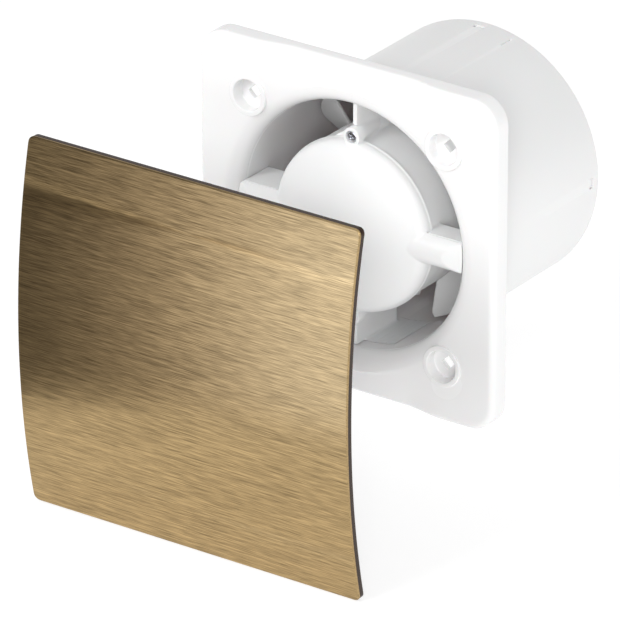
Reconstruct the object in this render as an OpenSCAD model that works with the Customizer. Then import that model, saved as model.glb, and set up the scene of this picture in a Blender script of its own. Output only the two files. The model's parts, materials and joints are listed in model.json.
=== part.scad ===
// In-line bathroom extractor fan with a pulled-off decorative front panel.
// Origin: on the duct axis, in the wall plane (the back of the face plate).
// +Y runs into the wall along the duct, +X to the right, +Z up. Millimetres.

/* [Face plate] */
// Side of the square face plate
plate_side = 158; // [150:1:170]
// Depth of the face plate in front of the wall
plate_depth = 10.5; // [9:0.5:14]
// Corner radius of the face plate, seen from the front
plate_corner_r = 13; // [8:1:18]
// Radius of the rounded front edge
plate_edge_r = 3; // [2:0.5:4]
// Wall thickness of the plate moulding
plate_wall = 2.4; // [2:0.2:3]
// Depth of the air scoops in the top and bottom edges
scoop_depth = 4; // [2:0.5:5]

/* [Panel sockets] */
// Distance between socket centres, both ways
socket_pitch = 104.2; // [100:0.2:108]
// Bore radius of a socket
socket_r = 7.5; // [7:0.1:8]
// Outer radius of the collar round a socket
collar_r = 9.8; // [9.4:0.1:10.5]
// How far a collar stands out of the plate
collar_proud = 1; // [0.5:0.1:1.5]
// Depth of a socket from the collar's face to its floor
socket_depth = 6; // [5:0.5:7]
// Side of the square window in a socket's floor
window_side = 4.8; // [3:0.1:6]

/* [Duct] */
// Outer radius of the duct spigot
duct_r = 61.2; // [60.5:0.1:62]
// Wall thickness of the duct
duct_wall = 2.2; // [1.8:0.1:2.4]
// Length of the duct behind the wall plane
duct_length = 100; // [98:1:110]
// Radius of the bellmouth at the inlet
bell_r = 8; // [7:0.5:8]

/* [Motor housing] */
// Outer radius of the motor cup
cup_r = 40; // [39.5:0.1:40.2]
// Wall thickness of the cup and its cover
cup_wall = 2; // [1.6:0.1:2.2]
// Distance of the cup's closed end behind the wall plane
cup_end = 27; // [27:0.5:28]
// Distance of the cover screws from the axis
screw_reach = 43.3; // [43:0.1:45]
// Height of a wide arm
arm_height = 15; // [13:0.5:17]

/* [Impeller] */
// Number of blades
blade_count = 7; // [5:1:8]
// Radius at the blade tips
blade_tip_r = 57.4; // [55:0.2:57.6]
// Radius of the hub
hub_r = 36; // [32:1:37]
// Angle between a blade and the plane of rotation
blade_pitch = 38; // [32:1:42]
// Angle at which the impeller has come to rest
blade_turn = 41; // [0:1:51]

/* [Front panel] */
// Width of the panel
panel_w = 174.8; // [170:0.2:180]
// Height of the panel
panel_h = 175.4; // [170:0.2:180]
// How far the middle bulges in front of the top and bottom edges
panel_bulge = 10; // [8:0.5:12]
// Thickness of the brushed sheet
skin_t = 1; // [0.8:0.1:1.2]
// Thickness of the dark backing
backing_t = 2.9; // [2.5:0.1:3.2]
// Gap between the seated panel's edge and the plate
panel_gap = 9; // [8:0.5:12]
// How far the panel is pulled out of its seat, along the duct axis
pull_out = 101.4; // [90:0.1:110]
// How far the pulled-off panel hangs below the duct axis
pull_drop = 22.7; // [20:0.1:23]

/* [Hidden] */
$fn = 96;
eps = 0.01;

// Depths along the duct axis, negative in front of the wall
front_y = -plate_depth;
collar_y = front_y - collar_proud;
socket_floor_y = collar_y + socket_depth;
bore_r = duct_r - duct_wall;
bell_end_y = front_y + bell_r;
root_step = 0.8;
cable_y = 6;
cable_bore_r = 3.2;
grommet_r = 4.4;
grommet_start_x = -60.5;
grommet_end_x = -57;
cup_front_y = -1;
cup_inner_r = cup_r - cup_wall;
cup_floor_y = cup_end - cup_wall;
socket_places = [[-1, -1], [1, -1], [-1, 1], [1, 1]] * (socket_pitch / 2);

// Motor cover: a dished end with a spherical crown and a rounded shoulder
dome_r = cup_r + 0.8;
dome_base_y = -2.5;
dome_crown_r = 88;
dome_shoulder_r = 7;
boss_r = 4.3;
boss_front_y = -6;
boss_back_r = 2.4;
boss_back_y = 14;
head_seat_y = boss_front_y + 1.5;
web_t = 2.2;
web_front_y = -3;
web_back_y = 29;
arm_seam_y = -5;
arm_front_y = -10.5;
arm_back_y = 6;
cable_arm_back_y = 13.4;

// Motor
motor_front_y = 4;
motor_back_y = 20;
stator_r = 36;
stator_ring_t = 5;
pole_w = 9;
pole_shoe_r = 17;
stator_bore_r = 14;
rotor_r = 13.6;
shaft_r = 2;
bearing_r = 4;
running_gap = 0.05;
screw_place = 27;
screw_turn = 45;
bracket_y = 0;
bracket_t = 2;

// Impeller
impeller_front_y = 30;
impeller_back_y = 56;
blade_front_y = 31;
blade_back_y = 55;
blade_t = 1.8;
blade_camber_r = 60;

// Back-draught damper
snap_y = 94;
snap_w = 5;
snap_h = 2.6;
damper_front_y = 86;
damper_back_y = 97;
damper_inner_r = 55.5;
pin_y = 91;
pin_r = 1.5;
flap_r = 54.5;
flap_t = 1.2;
knuckle_r = 3;
knuckle_bands = [[-50, -38], [-24, -12], [12, 24], [38, 50]];

// Front panel
panel_corner_r = 3;
panel_curve_r = (pow(panel_h / 2, 2) + pow(panel_bulge, 2)) / (2 * panel_bulge);
panel_t = skin_t + backing_t;
seated_y = front_y - panel_gap - panel_t - panel_bulge;
peg_r = 7.2;
peg_tip_r = 6;
peg_engaged = 5;
peg_flange_r = 11;
peg_tip_y = collar_y + peg_engaged;

// ---------- helpers ----------

// An outline drawn in X and Z, from one depth to another
module slab(y0, y1) {
    translate([0, y0, 0])
        rotate([90, 0, 0])
            mirror([0, 0, 1])
                linear_extrude(y1 - y0)
                    children();
}

// A profile of radius and depth, turned about the duct axis
module turned() {
    rotate([-90, 0, 0])
        rotate_extrude()
            children();
}

// A round bar or bore along the duct axis
module bar(r, y0, y1, x = 0, z = 0) {
    translate([x, y0, z])
        rotate([-90, 0, 0])
            cylinder(r = r, h = y1 - y0);
}

// A cone along the duct axis
module taper(r0, r1, y0, y1, x = 0, z = 0) {
    translate([x, y0, z])
        rotate([-90, 0, 0])
            cylinder(r1 = r0, r2 = r1, h = y1 - y0);
}

// A ring about the duct axis
module ring(r_in, r_out, y0, y1) {
    turned()
        translate([r_in, y0])
            square([r_out - r_in, y1 - y0]);
}

// A block given by its two opposite corners
module block(low, high) {
    translate(low)
        cube(high - low);
}

module rounded_rect(w, h, r) {
    square([w, h - 2 * r], center = true);
    square([w - 2 * r, h], center = true);
    for (sx = [-1, 1], sz = [-1, 1])
        translate([sx * (w / 2 - r), sz * (h / 2 - r)])
            circle(r = r);
}

// A pie slice of the X-Z plane, centred on an angle from +X
module sector(r, middle, half) {
    polygon([
        [0, 0],
        [r * cos(middle - half), r * sin(middle - half)],
        [r * cos(middle) / cos(half), r * sin(middle) / cos(half)],
        [r * cos(middle + half), r * sin(middle + half)]
    ]);
}

// ---------- face plate ----------

// Square block with rounded corners; its front edge is rolled all the way round
module plate_block() {
    e = plate_edge_r;
    c = plate_corner_r;
    place = plate_side / 2 - c;
    slab(front_y + e, 0)
        rounded_rect(plate_side, plate_side, c);
    hull()
        for (sx = [-1, 1], sz = [-1, 1])
            translate([sx * place, front_y + e, sz * place])
                rotate([-90, 0, 0])
                    rolled_corner(c, e);
}

// A disc whose front edge is a quarter round
module rolled_corner(c, e) {
    steps = 6;
    profile = [for (i = [0 : steps]) let (a = 90 * i / steps)
        [c - e + e * cos(a), -e * sin(a)]];
    rotate_extrude($fn = 64)
        polygon(concat([[0, 0]], profile, [[0, -e]]));
}

// Shallow slope cut out of the top edge, deepest at the edge
module air_scoop() {
    run_in = 17;
    full_half = 35;
    fade = 15;
    h = plate_side / 2;
    slope_z = atan(scoop_depth / run_in);
    slope_x = atan(scoop_depth / fade);
    intersection() {
        translate([-h, front_y, h - run_in])
            rotate([slope_z, 0, 0])
                translate([0, -20, -10])
                    cube([plate_side, 20, 60]);
        block([-h, front_y - 1, h - run_in - 5], [h, front_y + scoop_depth, h + 5]);
        scoop_ends(full_half + fade, slope_x);
    }
}

// The stretch of the scoop between its two fading ends
module scoop_ends(reach, slope) {
    intersection() {
        translate([-reach, front_y, 0])
            rotate([0, 0, slope])
                translate([-10, -30, 0])
                    cube([150, 30, 100]);
        translate([reach, front_y, 0])
            rotate([0, 0, -slope])
                translate([-140, -30, 0])
                    cube([150, 30, 100]);
    }
}

// The hollow behind the plate, which the ribs and collars are left standing in
module plate_hollow() {
    inner = plate_side - 2 * plate_wall;
    rib_t = 1.8;
    pad_w = 104;
    difference() {
        slab(front_y + plate_wall, 1)
            rounded_rect(inner, inner, plate_corner_r - plate_wall);
        bar(duct_r + 2.4, front_y, 2);
        for (p = socket_places)
            bar(collar_r, front_y, 2, p[0], p[1]);
        for (s = [-1, 1])
            block([-pad_w / 2, front_y, min(s * 60, s * 80)],
                  [pad_w / 2, front_y + scoop_depth + plate_wall, max(s * 60, s * 80)]);
        for (a = [0 : 45 : 315])
            rotate([0, a + 22.5, 0])
                block([60, front_y, -rib_t / 2], [110, -1.2, rib_t / 2]);
    }
}

module face_plate() {
    color("white")
        difference() {
            union() {
                difference() {
                    plate_block();
                    air_scoop();
                    mirror([0, 0, 1])
                        air_scoop();
                    plate_hollow();
                }
                for (p = socket_places)
                    bar(collar_r, collar_y, 0, p[0], p[1]);
            }
            turned()
                difference() {
                    translate([0, front_y - 5])
                        square([bore_r + bell_r, 5 + bell_r]);
                    translate([bore_r + bell_r, bell_end_y])
                        circle(r = bell_r);
                }
            bar(bore_r, front_y - 1, 1);
            bar(duct_r - root_step + 0.05, bell_end_y, 1);
            for (p = socket_places) {
                bar(socket_r, collar_y - 1, socket_floor_y, p[0], p[1]);
                bar(socket_r, socket_floor_y + 2, 1, p[0], p[1]);
                translate([p[0], 0, p[1]])
                    rotate([0, 45, 0])
                        block([-window_side / 2, collar_y, -window_side / 2],
                              [window_side / 2, 1, window_side / 2]);
            }
        }
}

// ---------- duct ----------

module duct_tube() {
    color("white")
        difference() {
            union() {
                ring(bore_r, duct_r, 0, duct_length);
                ring(bore_r, duct_r - root_step, bell_end_y, eps);
            }
            for (a = [0 : 90 : 270])
                rotate([0, a, 0])
                    block([bore_r - 2, snap_y - snap_h / 2, -snap_w / 2],
                          [duct_r + 2, snap_y + snap_h / 2, snap_w / 2]);
            rotate([0, -74, 0])
                block([duct_r - 0.5, 87, -0.4], [duct_r + 1, 95, 0.4]);
            cable_bar(grommet_r + 0.1, -duct_r - 3, -bore_r + 3);
        }
}

// A round bar along X where the supply cable comes in
module cable_bar(r, x0, x1) {
    translate([x0, cable_y, 0])
        rotate([0, 90, 0])
            cylinder(r = r, h = x1 - x0);
}

// Rubber grommet, sunk a little into the duct's wall and flanged inside it
module cable_grommet() {
    color("dimgray")
        difference() {
            union() {
                cable_bar(grommet_r, grommet_start_x, grommet_end_x);
                cable_bar(grommet_r + 0.9, -bore_r + 0.5, grommet_end_x);
            }
            cable_bar(cable_bore_r, -duct_r - 3, 0);
        }
}

// ---------- motor frame and its cover ----------

// Thin upright web from the cup to the duct, with a curved foot on the duct wall
module web(side) {
    foot_half = 17;
    boss_top = screw_reach + boss_r + 0.2;
    block([-web_t / 2, cup_front_y + 0.7, min(side * 39, side * 58.4)],
          [web_t / 2, web_back_y, max(side * 39, side * 58.4)]);
    block([-web_t / 2, web_front_y, min(side * boss_top, side * 58.4)],
          [web_t / 2, web_back_y - 1, max(side * boss_top, side * 58.4)]);
    intersection() {
        ring(bore_r - 0.6, bore_r - 0.1, 4, 33);
        slab(0, 40)
            sector(70, side * 90, foot_half);
    }
}

// Tapered screw boss beside the cup, on a block that carries it
module frame_boss(side) {
    taper(boss_r - 0.1, boss_back_r, cup_front_y, boss_back_y, 0, side * screw_reach);
    block([-2, cup_front_y + 0.4, min(side * 38, side * screw_reach)],
          [2, boss_back_y - 1, max(side * 38, side * screw_reach)]);
}

// Flat gusset from the upper boss down to the left of the cup
module gusset() {
    gusset_x = -21;
    gusset_z = 33;
    slab(cup_front_y + 0.3, 9)
        polygon([[0, 30], [gusset_x, gusset_z - 3], [gusset_x, gusset_z],
                 [-2.2, screw_reach + 3.2], [0, screw_reach + 3.2]]);
}

// Wide arm from the cup to the duct wall, a channel open to the front
module arm(side) {
    wall = 1.8;
    back_y = side < 0 ? cable_arm_back_y : arm_back_y;
    half = arm_height / 2;
    difference() {
        intersection() {
            block([min(side * 39, side * 60), arm_seam_y, -half],
                  [max(side * 39, side * 60), back_y, half]);
            union() {
                bar(bore_r - 0.1, bell_end_y, 20);
                taper(bore_r + 1, bore_r - 0.1, arm_seam_y - 4, bell_end_y);
            }
        }
        block([min(side * 36, side * 62), arm_seam_y - 1, -half + wall],
              [max(side * 36, side * 62), back_y - wall, half - wall]);
        bar(dome_r + 0.2, arm_seam_y - 1, cup_front_y + 0.5);
    }
}

module motor_frame() {
    color("white")
        difference() {
            union() {
                bar(cup_r, cup_front_y, cup_end);
                gusset();
                for (side = [-1, 1]) {
                    frame_boss(side);
                    web(side);
                    arm(side);
                }
            }
            difference() {
                bar(cup_inner_r, cup_front_y - 1, cup_floor_y);
                bar(7, cup_floor_y - 2, cup_end);
                for (a = [screw_turn, screw_turn + 180])
                    rotate([0, a, 0])
                        bar(3.4, motor_back_y, cup_end, screw_place, 0);
            }
            bar(bearing_r, cup_floor_y - 6, cup_end - 0.8);
            bar(shaft_r + 0.6, cup_floor_y - 6, cup_end + 1);
            for (a = [screw_turn, screw_turn + 180])
                rotate([0, a, 0])
                    bar(1.3, motor_back_y - 1, cup_end - 1.5, screw_place, 0);
            for (side = [-1, 1]) {
                bar(1.3, cup_front_y - 1, 11, 0, side * screw_reach);
                block([min(side * 36, side * 41), -6, -3], [max(side * 36, side * 41), 3, 3]);
            }
        }
}

// Half profile of a dished end: a crown arc running into a shoulder arc
module dished_profile(inset) {
    k = dome_shoulder_r - inset;
    crown = dome_crown_r - inset;
    shoulder_x = dome_r - dome_shoulder_r;
    rise = sqrt(pow(dome_crown_r - dome_shoulder_r, 2) - pow(shoulder_x, 2));
    tangent_x = shoulder_x * crown / (dome_crown_r - dome_shoulder_r);
    intersection() {
        translate([0, dome_base_y + rise])
            circle(r = crown, $fn = 360);
        translate([0, dome_base_y - 40])
            square([tangent_x, 40]);
    }
    intersection() {
        translate([shoulder_x, dome_base_y])
            circle(r = k);
        translate([0, dome_base_y - 40])
            square([dome_r, 40]);
    }
}

// Rounded front of a wide arm, sloping down to the bellmouth at its end
module arm_cap(side) {
    half = arm_height / 2;
    deep = arm_seam_y - arm_front_y;
    round_r = (half * half + deep * deep) / (2 * deep);
    slope_r = 51;
    end_y = -7;
    end_r = bore_r + bell_r - sqrt(pow(bell_r + 0.3, 2) - pow(end_y - bell_end_y, 2));
    foot_r = bore_r + bell_r - sqrt(pow(bell_r + 0.3, 2) - pow(arm_seam_y - bell_end_y, 2));
    intersection() {
        translate([side > 0 ? 30 : -66, arm_front_y + round_r, 0])
            rotate([0, 90, 0])
                cylinder(r = round_r, h = 36);
        turned()
            polygon([[0, arm_front_y - 1], [slope_r, arm_front_y - 1], [slope_r, arm_front_y],
                     [end_r, end_y], [foot_r, arm_seam_y], [0, arm_seam_y]]);
    }
}

module motor_cover() {
    rim_proud = 0.25;
    rim_w = 1;
    color("white")
        difference() {
            union() {
                turned() {
                    dished_profile(0);
                    translate([0, cup_front_y - rim_w - 1])
                        square([dome_r - 0.1, rim_w + 1.5]);
                    translate([0, cup_front_y - rim_w])
                        square([dome_r + rim_proud, rim_w + 0.5]);
                }
                for (side = [-1, 1]) {
                    bar(boss_r, boss_front_y, cup_front_y + 0.4, 0, side * screw_reach);
                    arm_cap(side);
                }
            }
            block([-80, cup_front_y, -80], [80, cup_front_y + 5, 80]);
            turned() {
                dished_profile(cup_wall);
                translate([0, dome_base_y - eps])
                    square([dome_r - cup_wall - 0.8, 5]);
            }
            for (side = [-1, 1]) {
                bar(1.7, boss_front_y - 1, 0, 0, side * screw_reach);
                bar(2.9, boss_front_y - 1, head_seat_y, 0, side * screw_reach);
                arm_hollow(side);
            }
        }
}

// Hollow along the inside of an arm's cap and through the skirt, for the supply cable
module arm_hollow(side) {
    block([min(side * 33, side * 56), arm_seam_y - 2.5, -4.5],
          [max(side * 33, side * 56), arm_seam_y + 1, 4.5]);
    block([min(side * 34, side * 44), arm_seam_y - 2, -4.2],
          [max(side * 34, side * 44), cup_front_y + 1, 4.2]);
}

// Pan-head screw with a cross recess, its head facing the room
module pan_screw(head_r, thread_r, head_y, length) {
    difference() {
        union() {
            bar(head_r, head_y - 1.2, head_y);
            bar(thread_r, head_y - eps, head_y + length);
        }
        for (a = [45, 135])
            rotate([0, a, 0])
                block([-head_r * 0.6, head_y - 2, -0.3], [head_r * 0.6, head_y - 0.5, 0.3]);
    }
}

module cover_screws() {
    color("silver")
        for (side = [-1, 1])
            translate([0, 0, side * screw_reach])
                pan_screw(2.7, 1.25, head_seat_y, 12);
}

// ---------- motor ----------

// Outline of one lamination: back iron, four poles with shoes, and two ears
module lamination() {
    difference() {
        union() {
            difference() {
                circle(r = stator_r);
                circle(r = stator_r - stator_ring_t);
            }
            for (a = [0 : 90 : 270])
                rotate(-a)
                    translate([stator_bore_r + 1.5, -pole_w / 2])
                        square([stator_r - stator_bore_r - 4, pole_w]);
            for (a = [0 : 90 : 270])
                intersection() {
                    difference() {
                        circle(r = pole_shoe_r);
                        circle(r = stator_bore_r);
                    }
                    sector(30, a, 36);
                }
            for (a = [screw_turn, screw_turn + 180])
                rotate(-a)
                    translate([screw_place - 5, -5])
                        square([stator_r - screw_place + 3, 10]);
        }
        for (a = [screw_turn, screw_turn + 180])
            rotate(-a)
                translate([screw_place, 0])
                    circle(r = 1.8);
    }
}

module stator_stack() {
    color("gray")
        slab(motor_front_y, motor_back_y)
            lamination();
}

// A square tube round a pole: inner and outer half sizes, and its reach along the pole
module pole_sleeve(inner, outer, r0, r1) {
    mid_y = (motor_front_y + motor_back_y) / 2;
    deep = (motor_back_y - motor_front_y) / 2;
    difference() {
        block([r0, mid_y - deep - outer, -pole_w / 2 - outer],
              [r1, mid_y + deep + outer, pole_w / 2 + outer]);
        block([r0 - 1, mid_y - deep - inner, -pole_w / 2 - inner],
              [r1 + 1, mid_y + deep + inner, pole_w / 2 + inner]);
    }
}

module bobbin(i) {
    color("ivory")
        rotate([0, 90 * i, 0]) {
            pole_sleeve(0.1, 1, 18, 30);
            pole_sleeve(0.1, 2.6, 18, 19);
            pole_sleeve(0.1, 2.6, 29, 30);
        }
}

module winding(i) {
    color("peru")
        rotate([0, 90 * i, 0])
            pole_sleeve(1.05, 2.4, 19.1, 28.9);
}

module rotor() {
    color("darkgray")
        difference() {
            union() {
                bar(rotor_r, motor_front_y + 0.5, motor_back_y - 0.5);
                bar(rotor_r - 2.5, motor_front_y - 0.6, motor_back_y + 0.4);
            }
            bar(shaft_r, -5, 40);
        }
}

module shaft() {
    color("silver")
        bar(shaft_r, -3, impeller_back_y + 3);
}

module sleeve_bearing(y0, y1) {
    color("goldenrod")
        difference() {
            bar(bearing_r, y0, y1);
            bar(shaft_r + running_gap, y0 - 1, y1 + 1);
        }
}

module front_bearing() {
    sleeve_bearing(bracket_y - 2, bracket_y + bracket_t);
}

module rear_bearing() {
    sleeve_bearing(cup_floor_y - 2.4, cup_end - 0.8);
}

module bearing_bracket() {
    color("silver")
        difference() {
            union() {
                rotate([0, screw_turn, 0]) {
                    block([-screw_place, bracket_y, -5], [screw_place, bracket_y + bracket_t, 5]);
                    for (s = [-1, 1])
                        bar(5, bracket_y, motor_front_y, s * screw_place, 0);
                }
                bar(7, bracket_y - 2, bracket_y + bracket_t);
            }
            bar(bearing_r, -5, 5);
            for (a = [screw_turn, screw_turn + 180])
                rotate([0, a, 0])
                    bar(1.8, -3, 10, screw_place, 0);
        }
}

module bracket_screws() {
    color("silver")
        for (a = [screw_turn, screw_turn + 180])
            rotate([0, a, 0])
                translate([screw_place, 0, 0])
                    pan_screw(3, 1.25, bracket_y, 24);
}

module terminal_block() {
    color("ivory")
        difference() {
            block([-10, -9, 15], [10, -1.5, 25]);
            for (x = [-6.4, 0, 6.4]) {
                bar(1.8, -10, -3.5, x, 20);
                translate([x, -4.6, 10])
                    cylinder(r = 1.5, h = 20);
            }
        }
    color("ivory")
        block([-8, -1.5 - eps, 18], [8, motor_front_y - 2.6, 22]);
}

module terminal_screws() {
    color("silver")
        for (x = [-6.4, 0, 6.4])
            translate([x, 0, 20])
                pan_screw(1.6, 1, -7.5, 2);
}

// Two insulated leads from the terminals to the upper winding
module lead_wires() {
    lead_r = 0.8;
    bend_r = 3;
    for (side = [-1, 1])
        color(side > 0 ? "saddlebrown" : "royalblue")
            translate([side * 6.4, -4.6, 25.2]) {
                cylinder(r = lead_r, h = 1.8);
                translate([0, bend_r, 1.8])
                    rotate([0, -90, 0])
                        mirror([0, 1, 0])
                            rotate_extrude(angle = 90)
                                translate([bend_r, 0])
                                    circle(r = lead_r);
                bar(lead_r, bend_r, bend_r + 2.6, 0, bend_r + 1.8);
            }
}

// ---------- impeller ----------

// Cambered blade of constant section, from inside the hub's wall to the tips
module blade() {
    half_chord = (blade_back_y - blade_front_y) / 2 / sin(blade_pitch);
    root_r = hub_r - 3;
    intersection() {
        translate([0, (blade_front_y + blade_back_y) / 2, root_r - 8])
            rotate([0, 0, -blade_pitch])
                linear_extrude(blade_tip_r - root_r + 12)
                    intersection() {
                        difference() {
                            translate([0, blade_camber_r])
                                circle(r = blade_camber_r, $fn = 240);
                            translate([0, blade_camber_r + blade_t])
                                circle(r = blade_camber_r, $fn = 240);
                        }
                        translate([-half_chord, -1])
                            square([2 * half_chord, 20]);
                    }
        ring(hub_r - 1, blade_tip_r, blade_front_y, blade_back_y);
        slab(blade_front_y - 1, blade_back_y + 1)
            polygon([[4.8, root_r + 1], [19.3, root_r + 21], [19.3, 60],
                     [-19.3, 60], [-12, root_r + 1]]);
    }
}

module impeller() {
    color("whitesmoke")
        difference() {
            union() {
                difference() {
                    turned() {
                        translate([0, impeller_front_y])
                            square([hub_r, impeller_back_y - impeller_front_y - 4]);
                        translate([0, impeller_back_y - 4 - eps])
                            square([hub_r - 4, 4]);
                        translate([hub_r - 4, impeller_back_y - 4])
                            circle(r = 4);
                    }
                    bar(hub_r - 2, impeller_front_y - 1, impeller_back_y - 2.4);
                }
                bar(6, impeller_front_y - 1, impeller_back_y);
                for (a = [0 : 60 : 300])
                    rotate([0, a, 0])
                        block([4, impeller_back_y - 12, -0.8],
                              [hub_r - 1.3, impeller_back_y - 2, 0.8]);
                for (i = [0 : blade_count - 1])
                    rotate([0, blade_turn + 360 * i / blade_count, 0])
                        blade();
            }
            bar(shaft_r, 0, 80);
        }
}

module impeller_nut() {
    color("silver")
        difference() {
            translate([0, impeller_back_y, 0])
                rotate([-90, 0, 0])
                    cylinder(r = 4, h = 2.6, $fn = 6);
            bar(shaft_r, 0, 80);
        }
}

// ---------- back-draught damper ----------

module damper_ring() {
    outer = bore_r - 0.1;
    color("white")
        difference() {
            union() {
                ring(damper_inner_r, outer, damper_front_y, damper_back_y);
                block([-3, damper_front_y, -damper_inner_r - 1],
                      [3, damper_front_y + 1.8, damper_inner_r + 1]);
                for (a = [0 : 90 : 270])
                    rotate([0, a, 0])
                        block([outer - 1, snap_y - snap_h / 2 + 0.2, -snap_w / 2 + 0.2],
                              [duct_r - 0.4, snap_y + snap_h / 2 - 0.2, snap_w / 2 - 0.2]);
                for (side = [-1, 1])
                    block([-4, damper_front_y, min(side * 52, side * 56.5)],
                          [4, pin_y + 3, max(side * 52, side * 56.5)]);
            }
            translate([0, pin_y, -56.2])
                cylinder(r = pin_r, h = 112.4);
        }
}

module damper_pin() {
    color("silver")
        translate([0, pin_y, -56])
            cylinder(r = pin_r, h = 112);
}

// A half disc with knuckles on the pin; the first and third bands, or the other two
module flap(side, first) {
    leaf_y = pin_y - knuckle_r + 0.1;
    color("gainsboro")
        difference() {
            union() {
                slab(leaf_y, leaf_y + flap_t)
                    difference() {
                        circle(r = flap_r);
                        translate([side > 0 ? -99.7 : -0.3, -60])
                            square([100, 120]);
                        for (end = [-61, 51])
                            translate([-7, end])
                                square([14, 10]);
                    }
                for (i = [first, first + 2])
                    translate([0, pin_y, knuckle_bands[i][0]])
                        cylinder(r = knuckle_r, h = knuckle_bands[i][1] - knuckle_bands[i][0]);
            }
            translate([0, pin_y, -60])
                cylinder(r = pin_r + running_gap, h = 120);
            for (i = [1 - first, 3 - first])
                translate([0, pin_y, knuckle_bands[i][0] - 0.3])
                    cylinder(r = knuckle_r + 0.4,
                             h = knuckle_bands[i][1] - knuckle_bands[i][0] + 0.6);
            translate([0, pin_y, -9])
                cylinder(r = knuckle_r + 0.6, h = 18);
        }
}

module flap_left() {
    flap(-1, 0);
}

module flap_right() {
    flap(1, 1);
}

// Closing spring, wound on the pin between the middle knuckles
module flap_spring() {
    wire_r = 0.35;
    turns = 9;
    color("silver")
        for (i = [0 : turns - 1])
            translate([0, pin_y, -4 + i])
                rotate_extrude()
                    translate([pin_r + wire_r + 0.15, 0])
                        circle(r = wire_r);
}

// ---------- front panel ----------

// A curved sheet, bulging towards the room, between two depths from its front
module panel_sheet(t0, t1) {
    centre_y = seated_y + panel_curve_r;
    intersection() {
        slab(seated_y - 5, seated_y + 40)
            rounded_rect(panel_w, panel_h, panel_corner_r);
        difference() {
            translate([-panel_w / 2 - 1, centre_y, 0])
                rotate([0, 90, 0])
                    cylinder(r = panel_curve_r - t0, h = panel_w + 2, $fn = 720);
            translate([-panel_w / 2 - 2, centre_y, 0])
                rotate([0, 90, 0])
                    cylinder(r = panel_curve_r - t1, h = panel_w + 4, $fn = 720);
        }
    }
}

// Moves a piece of the seated panel to the pulled-off place
module pulled_off() {
    translate([0, -pull_out, -pull_drop])
        children();
}

module panel_skin() {
    color("darkgoldenrod")
        pulled_off()
            panel_sheet(0, skin_t);
}

module panel_backing() {
    color([0.16, 0.11, 0.08])
        pulled_off()
            panel_sheet(skin_t, panel_t);
}

// Tapered, hollow peg behind one corner of the panel
module panel_peg(i) {
    p = socket_places[i - 1];
    centre_y = seated_y + panel_curve_r;
    color([0.2, 0.2, 0.2])
        pulled_off()
            difference() {
                intersection() {
                    union() {
                        bar(peg_r, seated_y, collar_y, p[0], p[1]);
                        taper(peg_r, peg_tip_r, collar_y, peg_tip_y, p[0], p[1]);
                        bar(peg_flange_r, seated_y, seated_y + 11, p[0], p[1]);
                    }
                    translate([-100, centre_y, 0])
                        rotate([0, 90, 0])
                            cylinder(r = panel_curve_r - panel_t, h = 200, $fn = 720);
                }
                bar(4.5, collar_y - 8, 0, p[0], p[1]);
            }
}

face_plate();
duct_tube();
motor_frame();
motor_cover();
cover_screws();
cable_grommet();
stator_stack();
bobbin(1);  // bobbin_1
bobbin(2);  // bobbin_2
bobbin(3);  // bobbin_3
bobbin(4);  // bobbin_4
winding(1);  // winding_1
winding(2);  // winding_2
winding(3);  // winding_3
winding(4);  // winding_4
rotor();
shaft();
front_bearing();
rear_bearing();
bearing_bracket();
bracket_screws();
terminal_block();
terminal_screws();
lead_wires();
impeller();
impeller_nut();
damper_ring();
damper_pin();
flap_left();
flap_right();
flap_spring();
panel_skin();
panel_backing();
panel_peg(1);  // panel_peg_1
panel_peg(2);  // panel_peg_2
panel_peg(3);  // panel_peg_3
panel_peg(4);  // panel_peg_4
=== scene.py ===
import json
import math

import bmesh
import bpy
from mathutils import Matrix, Vector


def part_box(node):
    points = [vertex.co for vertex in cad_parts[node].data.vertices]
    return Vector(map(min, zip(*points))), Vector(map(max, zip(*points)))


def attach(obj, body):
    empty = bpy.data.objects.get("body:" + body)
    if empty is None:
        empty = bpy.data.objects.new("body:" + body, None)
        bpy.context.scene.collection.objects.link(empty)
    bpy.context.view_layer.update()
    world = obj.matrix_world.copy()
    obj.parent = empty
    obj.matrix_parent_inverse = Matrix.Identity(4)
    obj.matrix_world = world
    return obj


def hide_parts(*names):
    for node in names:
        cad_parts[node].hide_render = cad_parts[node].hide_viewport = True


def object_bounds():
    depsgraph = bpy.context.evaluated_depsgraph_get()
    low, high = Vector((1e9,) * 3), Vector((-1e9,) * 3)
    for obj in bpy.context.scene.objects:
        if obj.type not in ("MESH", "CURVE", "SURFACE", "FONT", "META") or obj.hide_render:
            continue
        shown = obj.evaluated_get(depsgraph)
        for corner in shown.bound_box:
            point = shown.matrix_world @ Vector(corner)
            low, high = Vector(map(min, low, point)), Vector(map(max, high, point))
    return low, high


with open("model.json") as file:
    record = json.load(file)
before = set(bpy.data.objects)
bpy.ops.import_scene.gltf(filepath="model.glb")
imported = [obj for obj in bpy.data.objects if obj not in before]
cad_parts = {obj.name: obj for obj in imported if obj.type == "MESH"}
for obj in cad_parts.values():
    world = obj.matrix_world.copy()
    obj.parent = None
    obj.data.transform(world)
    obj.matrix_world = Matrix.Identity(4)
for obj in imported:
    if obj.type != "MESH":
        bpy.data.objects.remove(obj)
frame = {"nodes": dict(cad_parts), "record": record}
cad_low, cad_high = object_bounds()
nodes = frame["nodes"]

# ---------------------------------------------------------------- camera

# The viewpoint that fits the fan's edges in the photograph. Metres, and the lens in mm.
CAMERA_AZIMUTH = math.radians(35.04)
CAMERA_ELEVATION = math.radians(24.96)
CAMERA_DISTANCE = 3.6
CAMERA_TARGET = Vector((-0.0102, -0.0228, -0.0367))
CAMERA_LENS = 472.9


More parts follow.
